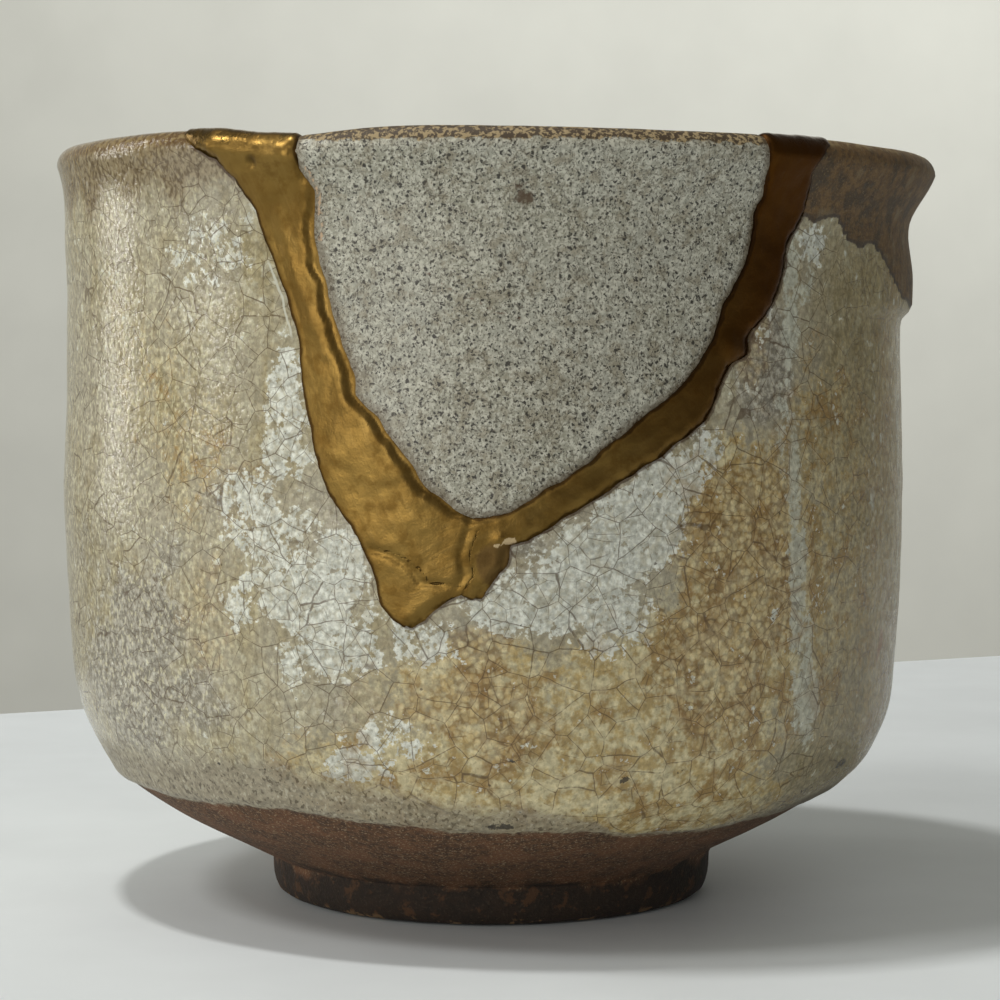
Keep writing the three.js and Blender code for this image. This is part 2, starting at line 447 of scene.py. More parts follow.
def cut(piece, tool, operation):
    """Cuts the piece for good with a Boolean modifier."""
    modifier = piece.modifiers.new("cut", "BOOLEAN")
    modifier.object = tool
    modifier.operation = operation
    modifier.solver = "MANIFOLD"
    graph = bpy.context.evaluated_depsgraph_get()
    mesh = bpy.data.meshes.new_from_object(piece.evaluated_get(graph))
    mesh.materials.clear()
    mesh.validate()
    work = bmesh.new()
    work.from_mesh(mesh)
    gaps = [edge for edge in work.edges if edge.is_boundary]
    bmesh.ops.holes_fill(work, edges=gaps, sides=8)
    work.to_mesh(mesh)
    work.free()
    piece.modifiers.clear()
    piece.data = mesh


def report(piece):
    """Prints what was made, and that it is closed."""
    work = bmesh.new()
    work.from_mesh(piece.data)
    open_edges = sum(not edge.is_manifold for edge in work.edges)
    triangles = sum(len(face.verts) - 2 for face in work.faces)
    volume = work.calc_volume(signed=True) / MM**3 / 1000
    work.free()
    print(f"{piece.name}: {triangles} triangles, {open_edges} open edges, {volume:.1f} cm3")


def smooth_shaded(piece, crease):
    """Smooth shading, with a hard line wherever the surface turns by more than `crease` degrees."""
    piece.data.shade_smooth()
    piece.data.set_sharp_from_angle(angle=math.radians(crease))


bay_cutter = cutter(bay_edge, "bay_cutter")

# %% [markdown]
# ## The bowl
#
# The whole bowl is turned, pushed to its hand-made shape, and the bay is cut out of its wall.

# %% Turn the bowl and cut the bay
turned_bowl = spun(bowl_section, 400, -math.pi, 2 * math.pi)
pushed(turned_bowl, bowl_section)
bowl = finished(turned_bowl, "tea_bowl")
cut(bowl, bay_cutter, "DIFFERENCE")
smooth_shaded(bowl, 48)
report(bowl)

# %% [markdown]
# ## The shard
#
# The shard is a piece of the same wall. It is turned as a block that covers the whole bay, and only
# what lies inside its own edge is kept. The edge of the shard chipped where it broke, so its surface
# falls away a little along the edge.


# %% Turn the shard and trim it to its edge
def shard_proud(girth, height):
    """The surface of the shard falls away over its chipped edge."""
    inside = distance_inside(shard_edge, girth, height)
    return -0.22 * bell(np.maximum(inside, 0) / 0.5)


shard_section = wall_section(48, 0.55, 1.1)
shard_block = spun(shard_section, 130, -26 / GIRTH_RADIUS, 64 / GIRTH_RADIUS)
pushed(shard_block, shard_section, proud=shard_proud)
shard = finished(shard_block, "grey_speckled_shard")
shard_cutter = cutter(moved_aside(shard_edge, -0.05), "shard_cutter")
cut(shard, shard_cutter, "INTERSECT")
smooth_shaded(shard, 48)
report(shard)

# %% [markdown]
# ## The gold seam
#
# The mender builds up lacquer in the gap, lets it lap over both edges, and dusts gold on the last coat.
# The seam is turned as a fine block of the same wall. Its surface is set by the distance from the two
# edges: just under the wall at the very edge, where it laps, and about half a millimetre proud inside.
# A soft ridge runs down its left leg, two cracks cross its tip, and a lump sits on its right leg.

# %% Small forms on the seam, as places on the wall
RIDGE = [(-24.6, 87.0), (-23.2, 83.7), (-22.2, 80.2), (-20.8, 76.6), (-19.5, 73.4), (-18.2, 70.5)]
GROOVE = [(-24.6, 83.5), (-23.2, 80.2), (-22.3, 77.0), (-21.0, 73.4), (-20.3, 69.5)]
TIP_CRACKS = [
    [(-12.9, 48.5), (-10.1, 47.7), (-7.9, 46.2), (-6.9, 44.7), (-3.4, 44.4)],
    [(-1.3, 50.8), (-2.3, 47.8), (-1.8, 45.6), (-3.4, 43.0)],
]
LUMPS = [
    (30.2, 71.5, 1.3, 0.45), (2.2, 49.4, 0.8, 0.3), (-28.0, 92.6, 0.6, -0.4), (-24.0, 93.5, 2.0, 0.25),
    (-34.0, 94.5, 1.8, 0.2), (-26.5, 89.0, 1.6, 0.15), (36.2, 86.0, 1.4, 0.12), (-8.5, 52.5, 3.0, 0.12),
]
WORN = [(1.0, 46.8, 2.6, 2.6, 1), (2.6, 45.4, 1.8, 2.0, 0.9)]


# %% How far the lacquer stands out
LAP = 0.32
PROUD = 0.26


def from_line(points, girth, height):
    """Distance of places from a line of a few points."""
    line = even_steps(points, 0.3)
    gaps = (girth[:, None] - line[None, :, 0]) ** 2 + (height[:, None] - line[None, :, 1]) ** 2
    return np.sqrt(gaps.min(1))


def seam_proud(girth, height):
    """How far the lacquer stands out from the wall."""
    from_bay = distance_inside(bay_edge, girth, height)
    from_shard = -distance_inside(shard_edge, girth, height)
    flat = np.column_stack([girth, height, 0 * girth])
    ragged = 0.34 * noise_over(flat, 1.5, 33) + 0.2 * noise_over(flat, 0.75, 34)
    edge = np.minimum(from_bay, from_shard) + ragged
    crown = PROUD * ramp((edge + 0.25) / 0.8)
    under = -0.3 * ramp((-edge - 0.05) / 0.3)
    hand = 0.12 * noise_over(flat, 6, 31) + 0.07 * noise_over(flat, 1.9, 32) + 0.04 * noise_over(flat, 0.9, 35)
    forms = 0.14 * bell(from_line(RIDGE, girth, height) / 0.7)
    forms -= 0.10 * bell(from_line(GROOVE, girth, height) / 0.4)
    for crack in TIP_CRACKS:
        forms -= 0.26 * bell(from_line(crack, girth, height) / 0.32)
    for at_girth, at_height, size, rise in LUMPS:
        forms += rise * bell(np.hypot(girth - at_girth, height - at_height) / size)
    forms -= 0.16 * splashes(girth, height, WORN)
    return crown + under + (hand + forms) * ramp(edge / 0.9)


# %% Turn the seam and trim it between its edges
seam_section = wall_section(36, 0.36, 0.75)
seam_block = spun(seam_section, 262, -44 / GIRTH_RADIUS, 92 / GIRTH_RADIUS)
pushed(seam_block, seam_section, proud=seam_proud)
seam = finished(seam_block, "gold_lacquer_seam")
cut(seam, cutter(moved_aside(bay_edge, LAP), "lap_over_bowl"), "INTERSECT")
cut(seam, cutter(moved_aside(shard_edge, -LAP), "lap_over_shard"), "DIFFERENCE")
smooth_shaded(seam, 60)
report(seam)

# %% [markdown]
# ## Where each glaze lies
#
# The glaze is not one colour. Opaque white stands in broken patches beside the seam and under it,
# yellow ochre fills the lower front, iron stains the rim, and ash greys parts of the left. Each is
# painted on the bowl's vertices as a soft amount from 0 to 1, from a few places on the wall. The
# material breaks these soft amounts up into cells and flecks.


# %% Paint a soft amount on the vertices
def places_of(piece):
    """Girth, height and radius of each vertex, in millimetres."""
    points = np.array([vert.co for vert in piece.data.vertices]) / MM
    angle = np.arctan2(points[:, 0], -points[:, 1])
    return points, angle * GIRTH_RADIUS, points[:, 2], np.hypot(points[:, 0], points[:, 1])


def paint(piece, name, amounts):
    layer = piece.data.attributes.new(name, "FLOAT", "POINT")
    layer.data.foreach_set("value", np.asarray(amounts, np.float32))


def wall_side(height, radius):
    """1 inside the bowl, 0 outside, and between the two over the lip."""
    middle = (
        np.interp(height, outside_line[:, 1], outside_line[:, 0])
        + np.interp(height, inside_line[:, 1], inside_line[:, 0])
    ) / 2
    return ramp((middle - radius) / 1.6 + 0.5) * (height > 9)


# %% Places of the glazes, as girth, height, half width, half height and strength
WHITE = [
    (-24.5, 66, 2.4, 6, 0.9), (-24.6, 60.5, 3.0, 5, 0.85), (-30, 54, 5, 3.4, 0.8), (-27, 50.5, 6, 3.6, 0.8),
    (-31, 42, 3, 3.4, 0.65), (-22, 43, 6.5, 4.6, 1), (-17.6, 46.5, 3.6, 4.5, 1), (-18, 37.5, 7, 4.4, 0.85),
    (-8, 37.8, 5, 3.0, 0.8), (-12, 26.5, 5.5, 3.0, 0.75), (-17, 23.3, 4.5, 2.2, 0.8), (2, 42.4, 5, 3.6, 0.95),
    (8, 43, 6, 5.0, 1), (17.5, 50.5, 6, 5.5, 1), (14.5, 40.5, 5, 4.6, 0.9), (12.7, 47, 6, 5, 1),
    (21.3, 56, 4.5, 4, 0.9), (26, 59.5, 3, 3, 0.7), (43, 83.4, 2.4, 2.4, 0.85), (-36, 82, 6, 4.5, 0.5),
    (34, 76, 2.5, 5, 0.5), (-22, 36, 5, 3, 0.7),
]
OCHRE = [
    (2, 22, 28, 7, 1), (22, 28, 18, 14, 0.95), (34, 42, 12, 18, 0.9), (20, 17.5, 24, 5, 1),
    (48, 48, 16, 24, 0.6), (66, 48, 12, 34, 0.75), (-2, 32, 12, 7, 0.85), (-45, 66, 8, 10, 0.35),
    (-38, 60, 6, 10, 0.4), (28, 56, 7, 6, 0.7), (-12, 30, 8, 5, 0.6), (-14, 20.5, 8, 3.5, 0.8),
]
ROE = [
    (24, 52, 7, 7, 1), (34, 47, 8, 12, 1), (28, 34, 8, 9, 0.8), (-2, 37, 5, 3, 0.9), (1, 29, 5, 6, 0.7),
    (-6, 31, 6, 4, 0.8), (-30, 54, 5, 6, 0.6), (33, 74, 3.5, 7, 0.7), (-14, 36, 7, 4, 0.5),
    (-36, 40, 6, 8, 0.5), (52, 60, 8, 14, 0.4),
]
ASH = [
    (-48, 38, 9, 7, 1), (-43, 45, 5, 5, 0.5), (-54, 30, 12, 9, 0.9), (-40, 30, 8, 5, 0.7), (35, 70, 5, 8, 0.85),
    (-16, 30.5, 7, 3.5, 0.6), (-62, 42, 9, 14, 0.5), (24, 60.5, 4, 2.5, 0.6), (4, 48.5, 3.5, 1.6, 0.7),
]
STREAKS = [
    (39.7, 54, 1.3, 9, 1), (40.9, 43, 1.5, 9, 1), (42.5, 33, 1.8, 7, 0.95), (44.6, 28, 1.8, 5, 0.8),
    (37.5, 62, 1.0, 7, 0.6), (39.5, 76, 1.6, 8, 0.9), (42.6, 80, 1.0, 5, 0.7), (58, 60, 1.4, 14, 0.4), (71, 56, 1.2, 26, 0.6),
]
RED_FLECKS = [(63.3, 35, 1.0, 1.8, 0.9), (62.4, 33, 0.7, 1.2, 0.8), (-33, 38.0, 0.5, 0.5, 0.7)]
BLACK_SMEARS = [
    (24.8, 21.9, 1.0, 0.45, 1), (16.8, 21.4, 1.0, 0.3, 0.9), (20.6, 22.0, 0.5, 0.4, 0.8),
    (1.3, 16.0, 2.6, 0.45, 0.9), (-8, 16.6, 1.6, 0.3, 0.6), (57, 20, 1.8, 0.8, 0.9), (50, 17.4, 2.6, 0.6, 0.7),
    (-36.5, 22.1, 0.6, 0.5, 0.8), (-29, 21.8, 0.5, 0.5, 0.8), (-40.5, 22.3, 0.6, 0.4, 0.7),
    (-46.5, 26.4, 0.6, 0.5, 0.6), (2.9, 24.1, 0.4, 0.4, 0.6), (54, 89, 1.6, 1.3, 0.5), (42, 93, 2.0, 0.9, 0.5),
]
BROWN_EDGE = [
    (38, 88.5), (40.3, 86.7), (42.8, 86.0), (47.0, 86.9), (50.7, 84.1), (53.9, 83.2), (57.2, 83.9),
    (61.0, 82.2), (65.1, 79.6), (69.0, 77.2), (80.0, 75.6), (96.0, 77.0), (108, 84.0), (116, 92.0),
]
GREY_BAND = [
    (-175, 3.5), (-90, 6), (-40, 6.5), (-15, 6.0), (-9, 4.6), (0, 4.0), (9, 3.2), (13, 2.2), (17, 0.4),
    (30, 0.4), (45, 1.0), (60, 2.6), (100, 3.5), (175, 3.5),
]

# %% [markdown]
# ## A bench for mixing materials
#
# A shader is a tree of nodes. The bench below keeps the calls short: it adds nodes, joins them, and
# works in millimetres on the piece's own coordinates, so a number for a crack or a speck is its size.


# %% The mixing bench
def linear(red, green, blue):
    """A colour as the eye names it, from 0 to 255, turned into the light that Blender mixes."""
    return [((c / 255 + 0.055) / 1.055) ** 2.4 if c > 10 else c / 255 / 12.92 for c in (red, green, blue)] + [1]


class Bench:
    def __init__(self, name):
        self.material = bpy.data.materials.new(name)
        self.material.use_nodes = True
        self.tree = self.material.node_tree
        self.tree.nodes.clear()
        out = self.tree.nodes.new("ShaderNodeOutputMaterial")
        self.shader = self.tree.nodes.new("ShaderNodeBsdfPrincipled")
        self.tree.links.new(self.shader.outputs[0], out.inputs["Surface"])
        where = self.tree.nodes.new("ShaderNodeTexCoord").outputs["Object"]
        self.mm = self.node("Mapping", {"Vector": where, "Scale": (1000, 1000, 1000)}).outputs[0]

    def node(self, kind, inputs, **settings):
        made = self.tree.nodes.new("ShaderNode" + kind)
        for key, value in settings.items():
            setattr(made, key, value)
        for key, value in inputs.items():
            if isinstance(value, bpy.types.NodeSocket):
                self.tree.links.new(value, made.inputs[key])
            else:
                made.inputs[key].default_value = value
        return made

    def do(self, operation, first, second=0.0, third=0.0):
        return self.node("Math", {0: first, 1: second, 2: third}, operation=operation).outputs[0]

    def add(self, *values):
        total = values[0]
        for value in values[1:]:
            total = self.do("ADD", total, value)
        return total

    def times(self, *values):
        total = values[0]
        for value in values[1:]:
            total = self.do("MULTIPLY", total, value)
        return total

    def fade(self, value, low, high, start=0.0, end=1.0):
        """Runs smoothly from start to end as the value goes from low to high."""
        inputs = {0: value, 1: low, 2: high, 3: start, 4: end}
        return self.node("MapRange", inputs, interpolation_type="SMOOTHSTEP").outputs[0]

    def painted(self, name):
        return self.node("Attribute", {}, attribute_name=name).outputs["Fac"]

    def stretched(self, size, shift=(0, 0, 0), of=None):
        """Coordinates in lumps of a size in mm, which may differ along x, y and z."""
        scale = [1 / s for s in size]
        return self.node("Mapping", {"Vector": of or self.mm, "Scale": scale, "Location": shift}).outputs[0]

    def noise(self, size, detail=3.0, rough=0.55, shift=0.0, of=None):
        size = (size, size, size) if isinstance(size, (int, float)) else size
        where = self.stretched(size, (shift, shift * 1.7, shift * 0.6), of)
        inputs = {"Vector": where, "Scale": 1.0, "Detail": detail, "Roughness": rough}
        return self.node("TexNoise", inputs).outputs[0]

    def bent(self, size, amount):
        """The millimetre coordinates, pushed about by noise, so that lines drawn on them wander."""
        push = self.node("TexNoise", {"Vector": self.mm, "Scale": 1 / size, "Detail": 2.0}).outputs["Color"]
        centred = self.node("VectorMath", {0: push, 1: (0.5, 0.5, 0.5)}, operation="SUBTRACT").outputs[0]
        moved = self.node("VectorMath", {0: centred, 3: amount}, operation="SCALE").outputs[0]
        return self.node("VectorMath", {0: self.mm, 1: moved}, operation="ADD").outputs[0]

    def cells(self, size, feature="F1", of=None, shift=0.0, randomness=1.0):
        size = (size, size, size) if isinstance(size, (int, float)) else size
        where = self.stretched(size, (shift, shift * 1.3, shift * 0.7), of)
        inputs = {"Vector": where, "Scale": 1.0, "Randomness": randomness}
        return self.node("TexVoronoi", inputs, feature=feature)

    def net(self, size, of):
        """Distance in mm from the lines of a net with meshes of a size."""
        return self.times(self.cells(size, "DISTANCE_TO_EDGE", of).outputs["Distance"], size)

    def near(self, distance, width):
        """1 where the distance is under about half the width, 0 beyond it."""
        return self.fade(distance, width * 0.35, width, 1.0, 0.0)

    def specks(self, spacing, radius, share, shift=0.0, of=None):
        """1 on round specks, on a share of the cells that are a spacing wide."""
        grid = self.cells(spacing, of=of, shift=shift)
        dot = self.fade(grid.outputs["Distance"], radius * 0.55 / spacing, radius / spacing, 1.0, 0.0)
        pick = self.node("SeparateColor", {0: grid.outputs["Color"]}).outputs[0]
        return self.times(dot, self.do("LESS_THAN", pick, share))

    def mix(self, amount, under, over):
        """The under colour with the over colour laid on it by an amount."""
        inputs = {0: amount, 6: under, 7: over}
        return self.node("Mix", inputs, data_type="RGBA").outputs[2]

    def shade(self, colour, amount):
        """The colour made darker or lighter: its light times the amount."""
        grey = self.node("CombineColor", {0: amount, 1: amount, 2: amount}).outputs[0]
        return self.node("Mix", {0: 1.0, 6: colour, 7: grey}, data_type="RGBA", blend_type="MULTIPLY").outputs[2]

    def finish(self, colour, roughness, height, depth_mm, **constants):
        """Joins colour, roughness and relief to the shader. The height runs about 0 to 1."""
        bump = self.node("Bump", {"Height": height, "Strength": 1.0, "Distance": depth_mm * MM}).outputs[0]
        self.tree.links.new(bump, self.shader.inputs["Normal"])
        self.tree.links.new(colour, self.shader.inputs["Base Color"])
        self.tree.links.new(roughness, self.shader.inputs["Roughness"])
        for name, value in constants.items():
            self.shader.inputs[name.replace("_", " ")].default_value = value
        return self.material


# %% [markdown]
# ## The crackled glaze
#
# The bowl's glaze is thick, milky and crazed: as it cooled it shrank more than the clay, and cracked
# into a net. Tea has stained the cracks brown. The net is a Voronoi pattern's distance to its edges,
# once coarse and once fine. In places the glaze broke into tiny round beads like roe, each with a
# brown outline. Below the glaze's edge the bare clay shows, red-brown and grainy.

# %% Paint the bowl's amounts
points, girth, height, radius = places_of(bowl)
angle = girth / GIRTH_RADIUS
inside = wall_side(height, radius)
outside = 1 - inside
right_side = bell((angle - 1.45) / 0.6)
edge_here = glaze_edge(angle) + 1.28 * right_side
above_edge = height - edge_here
soft = noise_over(points, (9, 9, 7), 11)
runs = noise_over(points, (4, 4, 26), 12)
far_round = ramp((np.abs(girth) - 78) / 12)
brown_line = np.interp(girth, *np.array(BROWN_EDGE).T, left=200, right=200)
under_rim = ramp((height - 85 + 3.0 * runs + 2.0 * soft) / 8)
left_of_seam = ramp((-24 - girth) / 8)
band = np.interp(girth, *np.array(GREY_BAND).T)
back_white = 0.75 * ramp(2.6 * noise_over(points, (22, 22, 15), 14)) * far_round
back_ochre = 0.8 * ramp(1.4 * noise_over(points, (26, 26, 20), 15) + 0.3) * far_round
paint(bowl, "inside", inside)
paint(bowl, "above_edge", np.where(inside > 0.5, 60, np.clip(above_edge, -20, 60)))
paint(bowl, "white", outside * (np.maximum(splashes(girth, height, WHITE), back_white) + 0.1 * soft))
paint(bowl, "ochre", outside * (np.maximum(splashes(girth, height, OCHRE), back_ochre) + 0.15 * soft))
paint(bowl, "roe", outside * (np.maximum(splashes(girth, height, ROE), 0.7 * back_ochre) + 0.15 * soft))
paint(bowl, "ash", outside * (splashes(girth, height, ASH) + 0.2 * soft))
paint(bowl, "streak", outside * splashes(girth, height, STREAKS))
paint(bowl, "red", outside * splashes(girth, height, RED_FLECKS))
paint(bowl, "smear", splashes(girth, height, BLACK_SMEARS))
paint(bowl, "grey_band", outside * np.clip(1 - above_edge / (band + 0.1), -1, 1))
paint(bowl, "brown", ramp((height - brown_line + 0.4 * soft) / 1.4 + 0.5))
paint(bowl, "under_rim", under_rim * np.maximum(left_of_seam, far_round))
paint(bowl, "olive", outside * ramp((girth - 30) / 34) * ramp((140 - girth) / 30))
# The left side: pale flecks are painted brighter there as glints (painted highlight), and dark flecks and pebbles are
# stronger.
paint(bowl, "left_glints_and_flecks", outside * ramp((-22 - girth) / 20))
paint(bowl, "break", np.clip(-distance_inside(bay_edge, girth, height), 0, 30))
paint(bowl, "scar", splashes(girth, height, [(-25.6, 76.5, 3.5, 4.6, 1)]))
print("painted", len(bowl.data.attributes), "layers on", len(points), "vertices")

# %% Noise and cells that the glaze is made of
glaze = Bench("crackled_ash_glaze")
wander = glaze.bent(4.0, 0.8)
shiver = glaze.bent(1.3, 0.9)
broad = glaze.noise(16, 2)
middle = glaze.noise(4.6, 3, shift=3)
lump = glaze.noise(2.0, 3, 0.65, shift=4)
fine = glaze.noise(0.8, 3, 0.65, shift=5)
grain = glaze.noise(0.3, 1, shift=6)
runs_down = glaze.noise((2.4, 2.4, 14), 3, 0.6, shift=7)
dashes = glaze.noise((0.5, 0.5, 0.75), 1, shift=8)
roe_cells = glaze.cells(0.8, of=shiver)
roe_away = roe_cells.outputs["Distance"]
roe_random = glaze.node("SeparateColor", {0: roe_cells.outputs["Color"]}).outputs[0]
veins = glaze.fade(glaze.add(roe_away, glaze.times(glaze.add(fine, -0.5), 0.6)), 0.4, 0.7)


def broken(name, low, high, by_lump=0.9, by_fine=0.7, by_middle=0.5, most=1.0):
    """A painted amount, broken up by noise of three sizes."""
    parts = [(lump, by_lump), (fine, by_fine), (middle, by_middle)]
    uneven = [glaze.times(glaze.add(field, -0.5), amount) for field, amount in parts if amount]
    return glaze.fade(glaze.add(glaze.times(glaze.painted(name), most), *uneven), low, high)


white = broken("white", 0.36, 0.50, 1.9, 1.3, 0.8, most=0.74)
ochre = broken("ochre", 0.25, 0.75, 0.9, 0.9, 0.7)
roe = broken("roe", 0.3, 0.75, 1.1, 0.3, 0.9)
ash = broken("ash", 0.3, 0.8, 0.9, 0.7, 0.8)
streak = broken("streak", 0.3, 0.6, 1.7, 1.4, 0.5, most=0.75)
smear = broken("smear", 0.62, 0.76, 1.0, 2.6, 0.0, most=0.9)
red = broken("red", 0.4, 0.7, 0.4, 0.8, 0.0)
rim_stain = broken("under_rim", 0.25, 0.95, 0.6, 0.5, 0.7)
brown = broken("brown", 0.42, 0.56, 0.35, 0.5, 0.0)
grey_band = broken("grey_band", -0.12, 0.4, 0.6, 0.7, 0.6)
olive = glaze.painted("olive")
left_glints_and_flecks = glaze.painted("left_glints_and_flecks")

# %% Colours of the glaze
beige = glaze.mix(glaze.fade(runs_down, 0.35, 0.65), linear(170, 162, 136), linear(160, 148, 112))
beige = glaze.mix(glaze.fade(broad, 0.35, 0.65), beige, linear(168, 161, 140))
beige = glaze.mix(glaze.times(glaze.fade(lump, 0.5, 0.62), 0.8), beige, linear(188, 182, 156))
beige = glaze.mix(glaze.times(glaze.fade(middle, 0.42, 0.32), 0.6), beige, linear(144, 132, 102))
shaded = glaze.mix(glaze.fade(runs_down, 0.38, 0.62), linear(150, 134, 90), linear(126, 110, 68))
shaded = glaze.mix(glaze.times(glaze.fade(lump, 0.52, 0.66), 0.6), shaded, linear(160, 150, 112))
colour = glaze.mix(glaze.times(olive, 0.95), beige, shaded)
cream = glaze.mix(glaze.fade(lump, 0.42, 0.58), linear(202, 190, 150), linear(176, 154, 102))
amber = glaze.mix(glaze.fade(fine, 0.35, 0.65), linear(168, 143, 90), linear(142, 114, 62))
golden = glaze.mix(glaze.fade(glaze.add(middle, glaze.times(lump, 0.6)), 0.78, 0.94), cream, amber)
golden = glaze.mix(glaze.times(olive, 0.6), golden, linear(134, 113, 66))
colour = glaze.mix(ochre, colour, golden)
violet = glaze.mix(glaze.fade(fine, 0.4, 0.6), linear(128, 122, 108), linear(168, 164, 150))
colour = glaze.mix(glaze.times(ash, 0.85), colour, violet)
bead = glaze.mix(roe_random, linear(206, 190, 146), linear(170, 142, 88))
bead = glaze.mix(veins, bead, linear(124, 94, 50))
colour = glaze.mix(glaze.times(roe, 0.6), colour, bead)
milky = glaze.mix(glaze.fade(fine, 0.35, 0.7), linear(200, 202, 190), linear(218, 220, 210))
milky = glaze.mix(glaze.times(veins, glaze.fade(middle, 0.4, 0.6), 0.4), milky, linear(172, 160, 124))
colour = glaze.mix(glaze.times(white, 0.92), colour, milky)
colour = glaze.mix(glaze.times(streak, 0.8), colour, linear(188, 189, 172))
print("nodes in the glaze so far:", len(glaze.tree.nodes))

# %% Flecks, cracks and stains
colour = glaze.shade(colour, glaze.fade(roe_away, 0.2, 0.66, 1.06, 0.9))
colour = glaze.shade(colour, glaze.fade(fine, 0.34, 0.66, 0.8, 1.16))
# Pale flecks, partly the glaze's own and partly painted glints, stronger on the lit left; dark flecks of the glaze
# itself.
pale_flecks_and_glints = glaze.times(glaze.fade(dashes, 0.58, 0.66), glaze.add(glaze.times(left_glints_and_flecks, 0.35), 0.15))
dark_dash = glaze.times(glaze.fade(dashes, 0.40, 0.32), glaze.add(glaze.times(left_glints_and_flecks, 0.1), 0.3))
colour = glaze.mix(pale_flecks_and_glints, colour, linear(218, 212, 176))
colour = glaze.mix(dark_dash, colour, linear(104, 90, 58))
colour = glaze.mix(glaze.times(rim_stain, 0.62), colour, linear(120, 98, 62))
rim_dash = glaze.times(rim_stain, glaze.fade(dashes, 0.5, 0.38))
colour = glaze.mix(glaze.times(rim_dash, 0.6), colour, linear(78, 62, 40))
from_crack = glaze.net(4.2, wander)
from_fine_crack = glaze.net(2.5, wander)
fine_net = glaze.times(glaze.near(from_fine_crack, 0.06), glaze.fade(middle, 0.45, 0.55))
net = glaze.do("MAXIMUM", glaze.near(from_crack, 0.07), glaze.times(fine_net, 0.8))
net = glaze.times(net, glaze.fade(lump, 0.34, 0.5, 0.3, 1.0))
halo = glaze.times(glaze.near(from_crack, 0.6), ochre, glaze.fade(middle, 0.4, 0.6), 0.3)
colour = glaze.mix(halo, colour, linear(150, 116, 64))
colour = glaze.mix(glaze.times(net, 0.7), colour, linear(78, 58, 34))
dark_specks = glaze.specks(2.6, 0.2, 0.3, of=shiver)
colour = glaze.mix(glaze.times(dark_specks, 0.7), colour, linear(58, 44, 30))

band_colour = glaze.mix(glaze.fade(fine, 0.35, 0.65), linear(120, 111, 92), linear(152, 143, 122))
band_colour = glaze.mix(glaze.fade(dashes, 0.42, 0.34), band_colour, linear(80, 70, 54))
band_colour = glaze.mix(glaze.fade(dashes, 0.62, 0.72), band_colour, linear(172, 165, 146))
colour = glaze.mix(glaze.times(grey_band, 0.8), colour, band_colour)
above_edge = glaze.painted("above_edge")
# Painted shade: the glaze darkens along its lower edge on the shaded right, under the belly.
painted_shade_strip = glaze.fade(glaze.add(above_edge, glaze.times(glaze.add(middle, -0.5), 3.0)), 0.8, 2.4, 1.0, 0.0)
painted_shade_strip = glaze.times(painted_shade_strip, glaze.fade(olive, 0.3, 0.8))
colour = glaze.mix(glaze.times(painted_shade_strip, 0.75), colour, linear(88, 80, 60))
colour = glaze.mix(glaze.times(red, 0.35), colour, linear(150, 80, 56))
near_break = glaze.painted("break")
scar_line = glaze.do("ABSOLUTE", glaze.add(near_break, -1.2, glaze.times(glaze.add(middle, -0.5), 1.0)))
scar = glaze.times(glaze.fade(scar_line, 0.08, 0.2, 1.0, 0.0), glaze.fade(glaze.painted("scar"), 0.3, 0.6))
colour = glaze.mix(glaze.times(scar, 0.75), colour, linear(206, 206, 190))
lacquer_line = glaze.fade(glaze.add(near_break, glaze.times(glaze.add(fine, -0.5), 0.5)), 0.18, 0.4, 1.0, 0.0)
colour = glaze.mix(glaze.times(lacquer_line, 0.75), colour, linear(66, 44, 24))
colour = glaze.mix(glaze.times(smear, 0.85), colour, linear(34, 28, 22))

# %% The brown patch at the rim and the bare clay
iron = glaze.mix(glaze.fade(fine, 0.38, 0.62), linear(108, 80, 40), linear(78, 54, 24))
iron = glaze.mix(glaze.times(glaze.fade(middle, 0.52, 0.64), 0.75), iron, linear(46, 33, 16))
iron = glaze.mix(glaze.times(glaze.fade(lump, 0.56, 0.66), 0.6), iron, linear(36, 28, 16))
iron = glaze.mix(glaze.times(glaze.fade(middle, 0.42, 0.32), 0.6), iron, linear(118, 102, 74))
iron = glaze.mix(glaze.times(glaze.fade(grain, 0.6, 0.75), 0.5), iron, linear(140, 116, 76))
iron_rim = glaze.times(brown, glaze.fade(glaze.painted("brown"), 0.98, 0.7, 0.0, 1.0))
colour = glaze.mix(glaze.times(brown, 0.95), colour, iron)
colour = glaze.mix(glaze.times(iron_rim, 0.75), colour, linear(44, 32, 16))

height_mm = glaze.node("SeparateXYZ", {0: glaze.mm}).outputs[2]
lip = glaze.fade(glaze.add(height_mm, glaze.times(glaze.add(lump, -0.5), 1.6)), 94.3, 95.1)
lip_colour = glaze.mix(glaze.fade(fine, 0.42, 0.6), linear(92, 68, 38), linear(138, 118, 78))
colour = glaze.mix(glaze.times(lip, 0.8), colour, lip_colour)
clay = glaze.mix(glaze.fade(fine, 0.35, 0.65), linear(62, 42, 26), linear(100, 70, 44))
clay = glaze.mix(glaze.times(glaze.fade(middle, 0.45, 0.65), 0.6), clay, linear(112, 74, 46))
clay = glaze.mix(glaze.times(glaze.fade(grain, 0.58, 0.7), 0.7), clay, linear(160, 138, 108))
